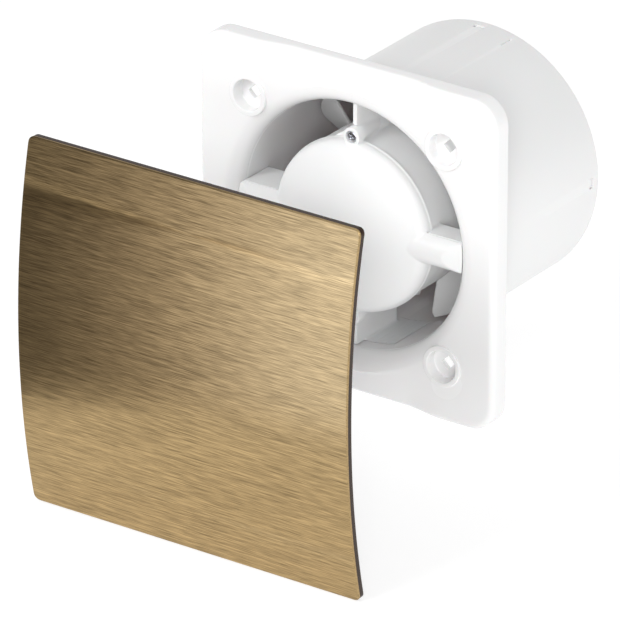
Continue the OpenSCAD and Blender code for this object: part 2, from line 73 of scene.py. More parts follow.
def make_camera():
    """A long lens, in front of the fan, to its right and above it."""
    flat = math.cos(CAMERA_ELEVATION)
    back = Vector((math.sin(CAMERA_AZIMUTH) * flat, -math.cos(CAMERA_AZIMUTH) * flat,
                   math.sin(CAMERA_ELEVATION)))
    data = bpy.data.cameras.new("camera")
    data.lens = CAMERA_LENS
    data.sensor_width = 36.0
    data.clip_start = 0.1
    data.clip_end = 20.0
    camera = bpy.data.objects.new("camera", data)
    bpy.context.scene.collection.objects.link(camera)
    camera.rotation_mode = "QUATERNION"
    camera.location = CAMERA_TARGET + back * CAMERA_DISTANCE
    camera.rotation_quaternion = (-back).to_track_quat("-Z", "Y")
    bpy.context.scene.camera = camera


make_camera()

# ---------------------------------------------------------------- frame sizes, in metres

plate_low, plate_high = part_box("face_plate")
duct_low, duct_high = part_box("duct_tube")
cover_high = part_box("motor_cover")[1]
skin_low, skin_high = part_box("panel_skin")
backing_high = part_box("panel_backing")[1]
mounts = {m["name"]: m for m in frame["record"]["mounts"]}

MM = 0.001

# ---------------------------------------------------------------- material helpers

def new_material(name):
    """A new node material, with its tree and its shader node."""
    material = bpy.data.materials.new(name)
    material.use_nodes = True
    tree = material.node_tree
    shader = tree.nodes["Principled BSDF"]
    return material, tree, shader


def add(tree, kind, **values):
    """A node with its properties or its input sockets set by name."""
    node = tree.nodes.new(kind)
    for key, value in values.items():
        if key in node.inputs:
            node.inputs[key].default_value = value
        else:
            setattr(node, key, value)
    return node


def stretched_coords(tree, scale):
    """Object coordinates, stretched by a factor along each axis."""
    coords = add(tree, "ShaderNodeTexCoord")
    mapping = add(tree, "ShaderNodeMapping")
    mapping.inputs["Scale"].default_value = scale
    tree.links.new(coords.outputs["Object"], mapping.inputs["Vector"])
    return mapping.outputs["Vector"]


def noise(tree, vector, scale, detail=3.0, rough=0.5):
    """Cloudy noise from 0 to 1."""
    node = add(tree, "ShaderNodeTexNoise")
    node.inputs["Scale"].default_value = scale
    node.inputs["Detail"].default_value = detail
    node.inputs["Roughness"].default_value = rough
    tree.links.new(vector, node.inputs["Vector"])
    return node.outputs["Fac"]


def ramp(tree, value, stops):
    """A colour ramp through (place, colour) stops."""
    node = add(tree, "ShaderNodeValToRGB")
    elements = node.color_ramp.elements
    while len(elements) < len(stops):
        elements.new(0.5)
    for element, (position, colour) in zip(elements, stops):
        element.position = position
        element.color = (*colour, 1.0)
    tree.links.new(value, node.inputs["Fac"])
    return node.outputs["Color"]


def spread(tree, value, low, high):
    """A value from 0 to 1 mapped to a narrow range."""
    node = add(tree, "ShaderNodeMapRange")
    node.inputs["To Min"].default_value = low
    node.inputs["To Max"].default_value = high
    tree.links.new(value, node.inputs["Value"])
    return node.outputs["Result"]


def bump(tree, height, strength, distance):
    """Small relief of a depth in metres, as a shading normal."""
    node = add(tree, "ShaderNodeBump")
    node.inputs["Strength"].default_value = strength
    node.inputs["Distance"].default_value = distance
    tree.links.new(height, node.inputs["Height"])
    return node.outputs["Normal"]


def shade(colour, factor):
    """A lighter or darker tone of a colour, at most white."""
    return tuple(min(1.0, c * factor) for c in colour)


def moulded_plastic(name, colour, roughness=0.3, coat=0.0, grain=1.0, soft=0.0, specular=0.5):
    """Injection-moulded plastic: faint flow tone, fine spark-eroded grain, uneven gloss."""
    material, tree, shader = new_material(name)
    vector = stretched_coords(tree, (1, 1, 1))
    flow_scale, grain_scale, grain_depth = 14, 900, 0.00006
    flow = noise(tree, vector, flow_scale, 2)
    tree.links.new(ramp(tree, flow, [(0.3, shade(colour, 0.975)), (0.7, colour)]),
                   shader.inputs["Base Color"])
    fine = noise(tree, vector, grain_scale, 4, 0.6)
    tree.links.new(spread(tree, flow, roughness - 0.04, roughness + 0.05),
                   shader.inputs["Roughness"])
    tree.links.new(bump(tree, fine, 0.12 * grain, grain_depth), shader.inputs["Normal"])
    shader.inputs["Specular IOR Level"].default_value = specular
    shader.inputs["Coat Weight"].default_value = coat
    shader.inputs["Coat Roughness"].default_value = 0.12
    shader.inputs["Subsurface Weight"].default_value = soft
    shader.inputs["Subsurface Scale"].default_value = 0.004
    return material


def plain_metal(name, colour, roughness=0.3, along=(1, 1, 1), scale=260, wear=0.12):
    """Metal with fine drawn or turned marks and a slightly uneven polish."""
    material, tree, shader = new_material(name)
    vector = stretched_coords(tree, along)
    mark_depth = 0.00005
    marks = noise(tree, vector, scale, 5, 0.65)
    stops = [(0.3, shade(colour, 1 - wear)), (0.7, colour)]
    tree.links.new(ramp(tree, marks, stops), shader.inputs["Base Color"])
    tree.links.new(spread(tree, marks, roughness - 0.08, roughness + 0.1),
                   shader.inputs["Roughness"])
    tree.links.new(bump(tree, marks, 0.2, mark_depth), shader.inputs["Normal"])
    shader.inputs["Metallic"].default_value = 1.0
    return material


def rubber(name, colour):
    """Soft rubber with a little dust and a fine pebbled skin."""
    material, tree, shader = new_material(name)
    vector = stretched_coords(tree, (1, 1, 1))
    dust_scale, skin_scale, skin_depth = 120, 1500, 0.00008
    dust = noise(tree, vector, dust_scale, 5, 0.7)
    tree.links.new(ramp(tree, dust, [(0.35, colour), (0.75, shade(colour, 1.7))]),
                   shader.inputs["Base Color"])
    tree.links.new(bump(tree, noise(tree, vector, skin_scale, 3), 0.3, skin_depth),
                   shader.inputs["Normal"])
    shader.inputs["Roughness"].default_value = 0.75
    return material


def brushed_brass(name):
    """Satin brass sheet with very fine brushing from side to side."""
    material, tree, shader = new_material(name)
    fine, coarse = (90, 3000, 3000), (30, 1500, 1500)
    coarse_share, brush_depth = 0.3, 0.00003
    hair = noise(tree, stretched_coords(tree, fine), 1.0, 2, 0.6)
    streak = noise(tree, stretched_coords(tree, coarse), 1.0, 2, 0.6)
    mixed = add(tree, "ShaderNodeMix", data_type="FLOAT")
    mixed.inputs[0].default_value = coarse_share
    tree.links.new(hair, mixed.inputs[2])
    tree.links.new(streak, mixed.inputs[3])
    value = mixed.outputs[0]
    stops = [(0.36, shade(BRASS, 0.6)), (0.5, shade(BRASS, 0.98)), (0.64, shade(BRASS, 1.38))]
    tree.links.new(ramp(tree, value, stops), shader.inputs["Base Color"])
    tree.links.new(spread(tree, value, 0.26, 0.42), shader.inputs["Roughness"])
    tree.links.new(bump(tree, value, 0.2, brush_depth), shader.inputs["Normal"])
    shader.inputs["Metallic"].default_value = 1.0
    shader.inputs["Anisotropic"].default_value = 0.7
    return material


WHITE = (0.9, 0.9, 0.9)
BRASS = (0.40, 0.285, 0.14)
MATERIALS = {
    "face_plate": moulded_plastic("gloss_white_abs", WHITE, 0.26, coat=0.15, soft=0.05),
    "duct_plastic": moulded_plastic("satin_white_abs", shade(WHITE, 0.98), 0.36, soft=0.05),
    "cover_plastic": moulded_plastic("cover_white_abs", WHITE, 0.28, coat=0.1, soft=0.05),
    "impeller_plastic": moulded_plastic("impeller_white_abs", shade(WHITE, 0.95), 0.38),
    "damper_plastic": moulded_plastic("damper_white_abs", shade(WHITE, 0.95), 0.42),
    "flap_plastic": moulded_plastic("flap_polypropylene", shade(WHITE, 0.9), 0.45, soft=0.2),
    "bobbin_plastic": moulded_plastic("bobbin_nylon", (0.72, 0.66, 0.50), 0.5, grain=2.0),
    "terminal_plastic": moulded_plastic("terminal_nylon", (0.80, 0.77, 0.66), 0.45),
    "peg_plastic": moulded_plastic("peg_nylon", (0.035, 0.035, 0.036), 0.42, grain=2.0),
    "lead_insulation": moulded_plastic("lead_sleeve", (0.22, 0.10, 0.05), 0.4),
    "panel_backing": moulded_plastic("panel_backing_gloss", (0.030, 0.013, 0.006), 0.2,
                                     specular=0.2, grain=0.5),
    "grommet_rubber": rubber("grommet_rubber", (0.02, 0.02, 0.021)),
    "screw_steel": plain_metal("zinc_screw", (0.72, 0.73, 0.75), 0.28),
    "lamination": plain_metal("lamination_steel", (0.30, 0.30, 0.32), 0.45, (1, 6, 1), 400, 0.4),
    "copper_wire": plain_metal("enamelled_copper", (0.72, 0.30, 0.12), 0.3, (1, 6, 1), 300, 0.35),
    "rotor_metal": plain_metal("rotor_aluminium", (0.60, 0.61, 0.63), 0.4, (1, 8, 1)),
    "shaft_steel": plain_metal("ground_steel", (0.66, 0.66, 0.68), 0.22, (1, 10, 1)),
    "bronze": plain_metal("sintered_bronze", (0.56, 0.38, 0.17), 0.5, (1, 1, 1), 900, 0.3),
    "bracket_metal": plain_metal("bracket_aluminium", (0.62, 0.63, 0.65), 0.35),
    "spring_steel": plain_metal("music_wire", (0.50, 0.50, 0.52), 0.3),
    "brushed_brass": brushed_brass("brushed_brass"),
}

# The chamfer's brass is brighter and paler than the sheet's, a painted highlight along the edge;
# its lower roughness is the real polish.
polished_edge_painted_highlight = plain_metal("polished_brass_edge_painted_highlight", (0.90, 0.80, 0.62), 0.22, (1, 6, 6), 300, 0.1)

SLOT_OF = {s["node"]: s["material_slot"] for s in frame["record"]["subparts"]}


def finish_cad_nodes():
    """Gives every CAD node the material of its slot."""
    for name, obj in nodes.items():
        obj.data.materials.clear()
        obj.data.materials.append(MATERIALS[SLOT_OF[name]])


finish_cad_nodes()

# ---------------------------------------------------------------- mesh helpers

def link(name, mesh):
    """A new object for a mesh, in the scene."""
    obj = bpy.data.objects.new(name, mesh)
    bpy.context.scene.collection.objects.link(obj)
    return obj


def from_faces(name, points, faces):
    """A closed mesh with its normals facing out."""
    mesh = bpy.data.meshes.new(name)
    mesh.from_pydata([tuple(p) for p in points], [], faces)
    solid = bmesh.new()
    solid.from_mesh(mesh)
    bmesh.ops.remove_doubles(solid, verts=solid.verts, dist=1e-7)
    bmesh.ops.recalc_face_normals(solid, faces=solid.faces)
    solid.to_mesh(mesh)
    solid.free()
    return mesh


def merged(name, meshes):
    """Several meshes in one, their material numbers kept."""
    whole = bmesh.new()
    for mesh in meshes:
        whole.from_mesh(mesh)
    result = bpy.data.meshes.new(name)
    whole.to_mesh(result)
    whole.free()
    return result


def evaluated(name, mesh, *modifiers):
    """A mesh after some modifiers, each given as a kind and its settings."""
    obj = link(name + "_work", mesh)
    for kind, settings in modifiers:
        modifier = obj.modifiers.new(kind.lower(), kind)
        for key, value in settings.items():
            setattr(modifier, key, value)
    graph = bpy.context.evaluated_depsgraph_get()
    graph.update()
    result = bpy.data.meshes.new_from_object(obj.evaluated_get(graph))
    result.name = name
    bpy.data.objects.remove(obj)
    return result


def joined(mesh, tool, operation):
    """An exact union or difference of two closed meshes."""
    cutter = link("tool_work", tool)
    result = evaluated(mesh.name, mesh, ("BOOLEAN", {
        "operation": operation, "solver": "EXACT", "use_self": False, "object": cutter}))
    bpy.data.objects.remove(cutter)
    return result


def loops_to_mesh(name, loops, closed=True):
    """Skins a row of equally long rings; closed also joins the last ring to the first."""
    count = len(loops[0])
    points = [p for loop in loops for p in loop]
    faces = []
    for i in range(len(loops) if closed else len(loops) - 1):
        a, b = i * count, (i + 1) % len(loops) * count
        for j in range(count):
            k = (j + 1) % count
            faces.append((a + j, a + k, b + k, b + j))
    if not closed:
        faces.append(tuple(range(count)))
        faces.append(tuple(range((len(loops) - 1) * count, len(loops) * count)))
    return from_faces(name, points, faces)


def lathe(name, profile, x=0.0, z=0.0, segments=96):
    """Turns a closed profile of radius and depth about a line along Y. Sizes in mm."""
    loops = []
    for r, y in profile:
        loops.append([Vector((x + r * math.cos(2 * math.pi * i / segments), y,
                              z + r * math.sin(2 * math.pi * i / segments))) * MM
                      for i in range(segments)])
    return loops_to_mesh(name, loops)


def plug(name, profile, x=0.0, z=0.0, segments=64):
    """Turns an open profile; its two ends are closed with flat discs. Sizes in mm."""
    loops = []
    for r, y in profile:
        loops.append([Vector((x + r * math.cos(2 * math.pi * i / segments), y,
                              z + r * math.sin(2 * math.pi * i / segments))) * MM
                      for i in range(segments)])
    return loops_to_mesh(name, loops, closed=False)


def arc(x, y, r, start, end, steps):
    """Points along an arc, with angles in degrees from +X towards +Y."""
    return [(x + r * math.cos(math.radians(start + (end - start) * i / steps)),
             y + r * math.sin(math.radians(start + (end - start) * i / steps)))
            for i in range(steps + 1)]


def box_mesh(name, low, high, turn=None):
    """A plain block, turned by a matrix if one is given. Sizes in mm."""
    points = [Vector((x, y, z)) * MM for x in (low[0], high[0])
              for y in (low[1], high[1]) for z in (low[2], high[2])]
    if turn is not None:
        points = [turn @ p for p in points]
    faces = [(0, 1, 3, 2), (4, 6, 7, 5), (0, 4, 5, 1), (2, 3, 7, 6), (0, 2, 6, 4), (1, 5, 7, 3)]
    return from_faces(name, points, faces)


def about_y(degrees):
    """A turn about the Y axis."""
    return Matrix.Rotation(math.radians(degrees), 4, "Y")


def smooth_step(value):
    """Eases from 0 to 1 with a level start and end."""
    value = min(max(value, 0.0), 1.0)
    return value * value * (3 - 2 * value)


def softened(node, voxel, passes, keep=1.0):
    """A copy of a CAD node's shape with its edges rounded, as they leave the mould."""
    source = nodes[node].data.copy()
    source.materials.clear()
    return evaluated(node + "_soft", source,
                     ("REMESH", {"mode": "VOXEL", "voxel_size": voxel * MM}),
                     ("SMOOTH", {"factor": 0.5, "iterations": passes}),
                     ("DECIMATE", {"ratio": keep}))


def place(name, mesh, body, slot, replaced, materials=None, sharp=35.0):
    """Puts a finished piece in the scene, riding on its body in place of CAD nodes."""
    piece = link(name, mesh)
    mesh.name = name
    piece.data.materials.clear()
    for material in materials or [MATERIALS[slot]]:
        piece.data.materials.append(material)
    mesh.shade_smooth()
    mesh.set_sharp_from_angle(angle=math.radians(sharp))
    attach(piece, body)
    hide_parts(*replaced)
    return piece


# ---------------------------------------------------------------- front panel

# Sizes in mm.
panel = {
    "width": (skin_high.x - skin_low.x) / MM,
    "height": (skin_high.z - skin_low.z) / MM,
    "front": skin_low.y / MM,
    "mid_z": (skin_low.z + skin_high.z) / 2 / MM,
    "corner": 3.0,
    "bulge": 10.0,
    "skin": 1.0,
}
panel["backing"] = (backing_high.y - skin_low.y) / MM - panel["bulge"] - panel["skin"]
half_height = panel["height"] / 2
panel["curve"] = (half_height ** 2 + panel["bulge"] ** 2) / (2 * panel["bulge"])


def panel_rows(inset, rows_straight=72, rows_corner=6):
    """Heights and half widths of the panel's rows, from bottom to top."""
    corner_follow = 0.8
    corner = panel["corner"] - inset * corner_follow
    half_w = panel["width"] / 2 - inset
    half_h = half_height - inset
    lower = [(-half_h + corner * (1 - math.cos(a)), half_w - corner * (1 - math.sin(a)))
             for a in (math.radians(90 * i / rows_corner) for i in range(rows_corner))]
    straight = [(-half_h + corner + 2 * (half_h - corner) * i / rows_straight, half_w)
                for i in range(rows_straight + 1)]
    upper = [(-z, half) for z, half in reversed(lower)]
    return lower + straight + upper


def panel_grid(inset, depth, columns=40):
    """Points of the curved sheet, a depth behind its front face."""
    centre_y = panel["front"] + panel["curve"]
    radius = panel["curve"] - depth
    rows = []
    for z, half in panel_rows(inset):
        y = centre_y - math.sqrt(radius * radius - z * z)
        rows.append([Vector((-half + 2 * half * i / columns, y, z + panel["mid_z"])) * MM
                     for i in range(columns + 1)])
    return rows


def rim(rows):
    """The outline of a grid of points, once round."""
    top, bottom = rows[-1], rows[0]
    return (bottom + [row[-1] for row in rows[1:-1]] + list(reversed(top))
            + [row[0] for row in reversed(rows[1:-1])])


def curved_sheet(name, levels, edge_levels=()):
    """A closed sheet. levels are (inset, depth) from front to back; edge_levels get slot 1."""
    front, back = panel_grid(*levels[0]), panel_grid(*levels[-1])
    points, faces, slots = [], [], []

    def add_grid(rows, flip):
        start = len(points)
        width = len(rows[0])
        points.extend(p for row in rows for p in row)
        for j in range(len(rows) - 1):
            for i in range(width - 1):
                a = start + j * width + i
                quad = (a, a + 1, a + width + 1, a + width)
                faces.append(tuple(reversed(quad)) if flip else quad)
                slots.append(0)

    add_grid(front, False)
    add_grid(back, True)
    rings = [rim(panel_grid(*level)) for level in levels]
    count = len(rings[0])
    for k in range(len(rings) - 1):
        start = len(points)
        points.extend(rings[k] + rings[k + 1])
        for j in range(count):
            n = (j + 1) % count
            faces.append((start + j, start + count + j, start + count + n, start + n))
            slots.append(1 if k in edge_levels else 0)
    mesh = bpy.data.meshes.new(name)
    mesh.from_pydata([tuple(p) for p in points], [], faces)
    for face, slot in zip(mesh.polygons, slots):
        face.material_index = slot
    solid = bmesh.new()
    solid.from_mesh(mesh)
    bmesh.ops.remove_doubles(solid, verts=solid.verts, dist=1e-7)
    bmesh.ops.recalc_face_normals(solid, faces=solid.faces)
    solid.to_mesh(mesh)
    solid.free()
    return mesh


def make_panel():
    """Brushed skin with a polished chamfer in brighter brass, a painted highlight, on a dark
    backing with rounded edges.
    """
    skin_t = panel["skin"]
    chamfer = 0.45
    backing_inset = 0.12
    backing_edge_r = 0.5
    place("panel_sheet",
          curved_sheet("panel_sheet", [(chamfer, 0), (0, chamfer), (0, skin_t)], (0,)),
          "front_panel", "brushed_brass", ["panel_skin"],
          [MATERIALS["brushed_brass"], polished_edge_painted_highlight], sharp=20)
    full = skin_t + panel["backing"]
    r = backing_edge_r
    levels = [(backing_inset, skin_t), (backing_inset, full - r)]
    levels += [(backing_inset + r * (1 - math.cos(a)), full - r + r * math.sin(a))
               for a in (math.radians(90 * i / 4) for i in range(1, 5))]
    place("panel_back", curved_sheet("panel_back", levels), "front_panel", "panel_backing",
          ["panel_backing"], sharp=40)


# ---------------------------------------------------------------- face plate

# Sizes in mm. Radii, walls and the root step are those of the CAD part.
half_side = plate_high.x / MM
corner_r = 13.0
edge_r = 3.0
wall = 2.4
collar_proud = 1.0
collar_r, socket_r = 9.8, 7.5
collar_y = plate_low.y / MM
front_y = collar_y + collar_proud
socket_depth = 6.0
socket_floor_y = collar_y + socket_depth
window_half = 2.4
duct_wall = 2.2
duct_r = duct_high.x / MM
bore_r = duct_r - duct_wall
bell_gap = 0.2
bell_r = 8.0
bell_end_y = duct_low.y / MM
sleeve_r = duct_r + wall
root_step = 0.8
root_r = duct_r - root_step + 0.05
socket_pitch = mounts["panel_sockets"]["dims"]["spacing_x_mm"]
sockets = [(sx * socket_pitch / 2, sz * socket_pitch / 2) for sx in (-1, 1) for sz in (-1, 1)]


def plate_angles():
    """Directions round the plate, closer together where its corners are rounded."""
    start = math.atan2(half_side - corner_r, half_side)
    quarter = [start * i / 32 for i in range(32)]
    quarter += [start + (math.pi / 2 - 2 * start) * i / 16 for i in range(16)]
    quarter += [math.pi / 2 - start * (1 - i / 32) for i in range(32)]
    return [a + k * math.pi / 2 for k in range(4) for a in quarter]


def square_point(angle, inset):
    """Where a ray from the duct axis meets the plate's outline, drawn in by an inset."""
    side, r = half_side - inset, corner_r - inset
    c, s = abs(math.cos(angle)), abs(math.sin(angle))
    reach = side / max(c, s)
    centre = side - r
    if reach * min(c, s) > centre:
        along = centre * (c + s)
        reach = along + math.sqrt(along * along - 2 * centre * centre + r * r)
    return reach * math.cos(angle), reach * math.sin(angle)


def scoop(x, z):
    """How far the air scoops lower the plate's face at this place."""
    depth, half_width, fade, start, length = 4.0, 50.0, 20.0, 58.0, 21.0
    across = smooth_step((half_width - abs(x)) / fade)
    along = max(abs(z) - start, 0) / length
    return depth * across * along * along


def square_loop(inset, rise):
    """A ring along the outline; rise gives its depth from its place."""
    loop = []
    for angle in plate_angles():
        x, z = square_point(angle, inset)
        loop.append(Vector((x, rise(x, z), z)) * MM)
    return loop


def round_loop(r, y):
    """A circle about the duct axis, with a point for each point of the outline."""
    return [Vector((r * math.cos(a), y, r * math.sin(a))) * MM for a in plate_angles()]


def blended_loops(r, inset, depth, shares):
    """Rings of a face that runs from a circle out to the square outline."""
    loops = []
    for share in shares:
        loop = []
        for angle in plate_angles():
            x, z = square_point(angle, inset)
            x = x * share + r * math.cos(angle) * (1 - share)
            z = z * share + r * math.sin(angle) * (1 - share)
            loop.append(Vector((x, depth + scoop(x, z), z)) * MM)
        loops.append(loop)
    return loops


def edge_scoop(x, z):
    """The scoop's depth where the face meets the rolled edge, above or below this place."""
    return scoop(x, math.copysign(min(abs(z), half_side - edge_r), z))


def plate_shell():
    """Bellmouth, face, rolled edge and hollow back as one closed skin."""
    steps, edge_steps = 14, 6
    rim_chamfer, inner_chamfer = 0.4, 0.3
    loops = [round_loop(bore_r + bell_gap, bell_end_y)]
    for r, y in arc(bore_r + bell_r, bell_end_y, bell_r, 182, 270, 12):
        loops.append(round_loop(r, y))
    loops += blended_loops(bore_r + bell_r, edge_r, front_y,
                           [i / steps for i in range(1, steps + 1)])
    for i in range(1, edge_steps + 1):
        a = math.radians(90 * i / edge_steps)
        loops.append(square_loop(edge_r * (1 - math.sin(a)), lambda x, z, a=a:
                                 front_y + edge_scoop(x, z) + edge_r * (1 - math.cos(a))))
    loops.append(square_loop(0, lambda x, z: -rim_chamfer))
    loops.append(square_loop(rim_chamfer, lambda x, z: 0))
    loops.append(square_loop(wall - inner_chamfer, lambda x, z: 0))
    loops.append(square_loop(wall, lambda x, z: -inner_chamfer))
    floor_y = front_y + wall
    loops += blended_loops(sleeve_r, wall, floor_y, [1 - i / steps for i in range(steps + 1)])
    loops.append(round_loop(sleeve_r, -inner_chamfer))
    loops.append(round_loop(sleeve_r - inner_chamfer, 0))
    loops.append(round_loop(root_r, 0))
    loops.append(round_loop(root_r, bell_end_y))
    return loops_to_mesh("plate_shell", loops)


def plate_rib(degrees):
    """A stiffening rib behind the plate, from the duct's sleeve to the rim."""
    angle = math.radians(degrees)
    steps, half_thickness, sunk, back_y = 12, 0.9, 0.8, -1.2
    start, length = sleeve_r - 1, half_side + 4.6 - sleeve_r
    loops = []
    for i in range(steps + 1):
        r = start + length * i / steps
        x, z = r * math.cos(angle), r * math.sin(angle)
        low = front_y + wall - sunk + scoop(x, z)
        side = Vector((-math.sin(angle), 0, math.cos(angle))) * half_thickness
        middle = Vector((x, 0, z))
        loops.append([(middle + side * sign + Vector((0, y, 0))) * MM
                      for sign, y in ((-1, low), (1, low), (1, back_y), (-1, back_y))])
    return loops_to_mesh("rib", loops, closed=False)


def make_face_plate():
    """The moulded plate with its four panel sockets and the ribs behind it."""
    round_over = 0.45
    collar = ([(collar_r - 1.2, collar_y)]
              + arc(collar_r - round_over, collar_y + round_over, round_over, 270, 360, 4)
              + [(collar_r, 0)])
    bore = ([(socket_r + round_over, collar_y - 1)]
            + arc(socket_r + round_over, collar_y + round_over, round_over, 270, 180, 4)
            + [(socket_r, socket_floor_y - 0.4), (socket_r - 0.4, socket_floor_y)])
    added = [plug("collar", collar, x, z) for x, z in sockets]
    added += [plate_rib(22.5 + 45 * i) for i in range(8)]
    mesh = joined(plate_shell(), merged("added", added), "UNION")
    cut = [plug("bore", bore, x, z) for x, z in sockets]
    cut += [plug("back", [(socket_r, socket_floor_y + 2), (socket_r, 1)], x, z)
            for x, z in sockets]
    mesh = joined(mesh, merged("cut", cut), "DIFFERENCE")
    windows = [box_mesh("window", (-window_half, socket_floor_y - 1, -window_half),
                        (window_half, socket_floor_y + 3, window_half),
                        Matrix.Translation(Vector((x, 0, z)) * MM) @ about_y(45))
               for x, z in sockets]
    mesh = joined(mesh, merged("windows", windows), "DIFFERENCE")
    place("face_plate_moulding", mesh, "housing", "face_plate", ["face_plate"], sharp=32)


# ---------------------------------------------------------------- duct

def make_duct():
    """Spigot with a rounded rear rim, four snap windows and a fine groove."""
    end_y = duct_high.y / MM
    rim_r = 0.6
    profile = [(bore_r + bell_gap, bell_end_y), (bore_r, bell_end_y + bell_gap)]
    profile += arc(bore_r + rim_r, end_y - rim_r, rim_r, 180, 90, 4)
    profile += arc(duct_r - rim_r, end_y - rim_r, rim_r, 90, 0, 4)
    profile += [(duct_r, 0.05), (duct_r - root_step, 0.05), (duct_r - root_step, bell_end_y)]
    tube = lathe("tube", profile, segments=288)
    snap_y, snap_half_y, snap_half_w = end_y - 6, 1.3, 2.5
    cuts = [box_mesh("snap", (bore_r - 2, snap_y - snap_half_y, -snap_half_w),
                     (duct_r + 2, snap_y + snap_half_y, snap_half_w), about_y(90 * i))
            for i in range(4)]
    groove_depth, groove_half_w, groove_turn = 0.5, 0.4, -74
    cuts.append(box_mesh("groove", (duct_r - groove_depth, end_y - 13, -groove_half_w),
                         (duct_r + 1, end_y - 5, groove_half_w), about_y(groove_turn)))
    grommet_low, grommet_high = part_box("cable_grommet")
    entry_y = (grommet_low.y + grommet_high.y) / 2
    hole_r = 4.5
    hole = plug("hole", [(hole_r, -duct_r - 3), (hole_r, -bore_r + 3)], segments=48)
    hole.transform(Matrix.Translation((0, entry_y, 0)) @ Matrix.Rotation(-math.pi / 2, 4, "Z"))
    cuts.append(hole)
    mesh = joined(tube, merged("cuts", cuts), "DIFFERENCE")
    place("duct_spigot", mesh, "housing", "duct_plastic", ["duct_tube"], sharp=30)


# ---------------------------------------------------------------- motor, impeller and damper

screw_head_r, screw_head_h, screw_r = 2.7, 1.2, 1.25
screws_low, screws_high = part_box("cover_screws")
screw_reach = screws_high.z / MM - screw_head_r
screw_seat_y = screws_low.y / MM + screw_head_h


def make_mouldings():
    """Moulded parts whose CAD shape is kept, with softened edges and blended corners."""
    for node, name, body, slot, voxel, passes, keep in (
            ("motor_frame", "motor_frame_moulding", "housing", "duct_plastic", 0.5, 3, 0.4),
            ("impeller", "impeller_moulding", "impeller_body", "impeller_plastic", 0.6, 3, 0.5),
            ("damper_ring", "damper_ring_moulding", "housing", "damper_plastic", 0.6, 2, 0.5),
            ("flap_left", "flap_left_moulding", "left_flap", "flap_plastic", 0.4, 2, 0.4),
            ("flap_right", "flap_right_moulding", "right_flap", "flap_plastic", 0.4, 2, 0.4)):
        place(name, softened(node, voxel, passes, keep), body, slot, [node])
    for i in range(1, 5):
        node = f"panel_peg_{i}"
        place(node + "_moulding", softened(node, 0.4, 3, 0.4), "front_panel", "peg_plastic",
              [node])


def make_motor_cover():
    """Domed cover whose arms blend into it, with two crisp screw bosses and its rim."""
    boss_r, boss_front, boss_edge_r = 4.3, -6.0, 0.3
    well_r, well_floor = 2.9, boss_front + 1.5
    hole_r = 1.7
    rim_r, rim_w, rim_edge_r = 41.05, 1.0, 0.15
    rim_back = cover_high.y / MM
    rim_front = rim_back - rim_w
    body = softened("motor_cover", 0.4, 5, 0.6)
    boss = ([(boss_r - 1.3, boss_front)]
            + arc(boss_r - boss_edge_r, boss_front + boss_edge_r, boss_edge_r, 270, 360, 3)
            + [(boss_r, rim_back - 0.1)])
    rim = ([(rim_r - 1.2, rim_back - 0.05), (rim_r - 1.2, rim_front + 0.1),
            (rim_r - 0.2, rim_front)]
           + arc(rim_r - rim_edge_r, rim_front + rim_edge_r, rim_edge_r, 270, 360, 2)
           + [(rim_r, rim_back - 0.05)])
    added = [plug("boss", boss, 0, side * screw_reach) for side in (-1, 1)]
    added.append(lathe("rim", rim))
    mesh = joined(body, merged("added", added), "UNION")
    well = [(well_r, boss_front - 1), (well_r, well_floor), (hole_r, well_floor + 0.05),
            (hole_r, 0)]
    wells = [plug("well", well, 0, side * screw_reach) for side in (-1, 1)]
    mesh = joined(mesh, merged("wells", wells), "DIFFERENCE")
    place("motor_cover_moulding", mesh, "housing", "cover_plastic", ["motor_cover"], sharp=40)


def make_cover_screws():
    """Pan heads with a cross recess, and their shanks."""
    tip_y = screws_high.y / MM
    seat, recess_half, recess_depth = screw_seat_y, 0.32, 0.65
    head = ([(0.3, seat - screw_head_h)]
            + arc(screw_head_r - screw_head_h, seat, screw_head_h, 270, 360, 5)
            + [(screw_head_r, seat), (screw_r, seat)])
    profile = head + [(screw_r, tip_y - 0.8), (0.5, tip_y)]
    meshes = []
    for side in (-1, 1):
        z = side * screw_reach
        screw = plug("screw", profile, 0, z, 40)
        for turn in (25, 115):
            slot = box_mesh("recess", (-1.5, seat - 2, -recess_half),
                            (1.5, seat - screw_head_h + recess_depth, recess_half),
                            Matrix.Translation((0, 0, z * MM)) @ about_y(turn))
            screw = joined(screw, slot, "DIFFERENCE")
        meshes.append(screw)
    place("cover_screw_pair", merged("screws", meshes), "housing", "screw_steel",
          ["cover_screws"], sharp=40)


def make_spring():
    """Torsion spring wound on the damper's pin."""
    low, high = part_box("flap_spring")
    wire = 0.35
    coil_r = high.x / MM - wire
    axis_y = (low.y + high.y) / 2 / MM
    z0, z1 = low.z / MM + wire, high.z / MM - wire
    turns, steps, sides = 8, 28, 8
    count = turns * steps
    path = []
    for i in range(count + 1):
        a = 2 * math.pi * turns * i / count
        path.append(Vector((coil_r * math.cos(a), axis_y + coil_r * math.sin(a),
                            z0 + (z1 - z0) * i / count)))
    loops = []
    for i, point in enumerate(path):
        ahead = path[min(i + 1, count)] - path[max(i - 1, 0)]
        ahead.normalize()
        out = Vector((point.x, point.y - axis_y, 0)).normalized()
        up = ahead.cross(out)
        loops.append([(point + (out * math.cos(b) + up * math.sin(b)) * wire) * MM
                      for b in (2 * math.pi * k / sides for k in range(sides))])
    place("flap_spring_coil", loops_to_mesh("coil", loops, closed=False), "housing",
          "spring_steel", ["flap_spring"], sharp=60)


make_panel()
make_face_plate()
make_duct()
make_mouldings()
make_motor_cover()
make_cover_screws()
make_spring()


# ---------------------------------------------------------------- stage and light

def stage_quad(name, corners, location, turn=0.0):
    """A flat piece of studio equipment, which isn't part of the object."""
    mesh = bpy.data.meshes.new(name)
    mesh.from_pydata(corners, [], [(0, 1, 2, 3)])
    quad = bpy.data.objects.new(name, mesh)
    bpy.context.scene.collection.objects.link(quad)
    quad.location = location
    quad.rotation_euler = (0, 0, turn)
    return quad


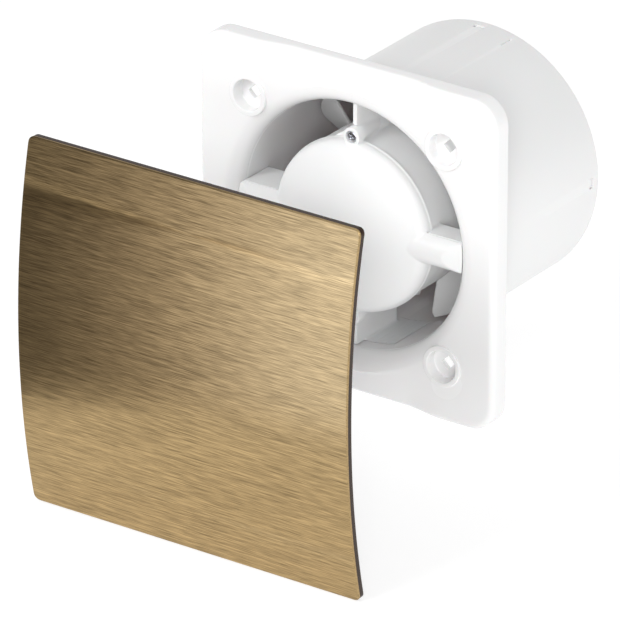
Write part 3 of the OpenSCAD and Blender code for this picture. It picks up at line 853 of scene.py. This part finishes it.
def make_floor():
    """A pale floor that gives off enough light of its own to read as white."""
    size, grey, glow = 6.0, 0.45, 0.68
    floor = stage_quad("floor", [(-size, -size, 0), (size, -size, 0), (size, size, 0),
                                 (-size, size, 0)], (0, 0, cad_low.z - 0.0005))
    material, _, shader = new_material("floor")
    shader.inputs["Base Color"].default_value = (grey, grey, grey, 1)
    shader.inputs["Roughness"].default_value = 0.9
    shader.inputs["Specular IOR Level"].default_value = 0.0
    shader.inputs["Emission Color"].default_value = (1, 1, 1, 1)
    shader.inputs["Emission Strength"].default_value = glow
    floor.data.materials.append(material)


def make_reflector():
    """A glowing card, dark to bright from left to right, that only glossy reflections see."""
    left, right, height = -0.30, 0.26, 0.5
    foot, turn = (-0.137, -0.196, cad_low.z - 0.0004), math.radians(-35)
    ramp_start, ramp_end = -0.005, 0.137
    card = stage_quad("reflector", [(left, 0, 0), (right, 0, 0), (right, 0, height),
                                    (left, 0, height)], foot, turn)
    card.visible_camera = False
    card.visible_diffuse = False
    card.visible_shadow = False
    material, tree, shader = new_material("reflector")
    coords = add(tree, "ShaderNodeTexCoord")
    split = add(tree, "ShaderNodeSeparateXYZ")
    tree.links.new(coords.outputs["Object"], split.inputs[0])
    span = add(tree, "ShaderNodeMapRange")
    span.inputs["From Min"].default_value = ramp_start
    span.inputs["From Max"].default_value = ramp_end
    tree.links.new(split.outputs["X"], span.inputs["Value"])
    brightest, warm, cool_end = 3.0, (1.0, 0.93, 0.9), (1.9, 2.1, 2.6)
    tones = [(0.0, 0.10), (0.2, 0.13), (0.35, 0.20), (0.5, 0.36), (0.65, 0.66), (0.8, 1.15)]
    stops = [(position, shade(warm, tone / brightest)) for position, tone in tones]
    stops.append((0.96, shade(cool_end, 1 / brightest)))
    tree.links.new(ramp(tree, span.outputs["Result"], stops), shader.inputs["Emission Color"])
    shader.inputs["Emission Strength"].default_value = brightest
    shader.inputs["Base Color"].default_value = (0, 0, 0, 1)
    shader.inputs["Specular IOR Level"].default_value = 0.0
    card.data.materials.append(material)


def area_light(name, location, size, power):
    """A soft white panel of light, aimed at the fan and hidden from the camera."""
    data = bpy.data.lights.new(name, "AREA")
    data.shape = "RECTANGLE"
    data.size, data.size_y = size
    data.energy = power
    light = bpy.data.objects.new(name, data)
    bpy.context.scene.collection.objects.link(light)
    light.location = location
    light.rotation_mode = "QUATERNION"
    light.rotation_quaternion = (-Vector(location)).to_track_quat("-Z", "Y")
    light.visible_camera = False


def make_world():
    """Soft light all round, brighter at the horizon than overhead."""
    horizon, overhead, strength = 1.0, 0.85, 0.72
    world = bpy.data.worlds.new("studio")
    bpy.context.scene.world = world
    world.use_nodes = True
    tree = world.node_tree
    coords = add(tree, "ShaderNodeTexCoord")
    split = add(tree, "ShaderNodeSeparateXYZ")
    tree.links.new(coords.outputs["Generated"], split.inputs[0])
    tone = ramp(tree, split.outputs["Z"], [(0.02, (horizon,) * 3), (0.5, (overhead,) * 3)])
    background = tree.nodes["Background"]
    tree.links.new(tone, background.inputs["Color"])
    background.inputs["Strength"].default_value = strength


def make_lights():
    """A key light at the left, a fill at the right and a weak one low down."""
    area_light("key", (-0.6, -2.1, 1.4), (0.9, 0.9), 27)
    area_light("fill", (1.3, -1.9, 0.95), (0.6, 0.6), 16)
    area_light("low", (1.3, -1.7, 0.15), (0.5, 0.3), 5)


bpy.context.scene.view_settings.view_transform = "Standard"
make_floor()
make_reflector()
make_world()
make_lights()
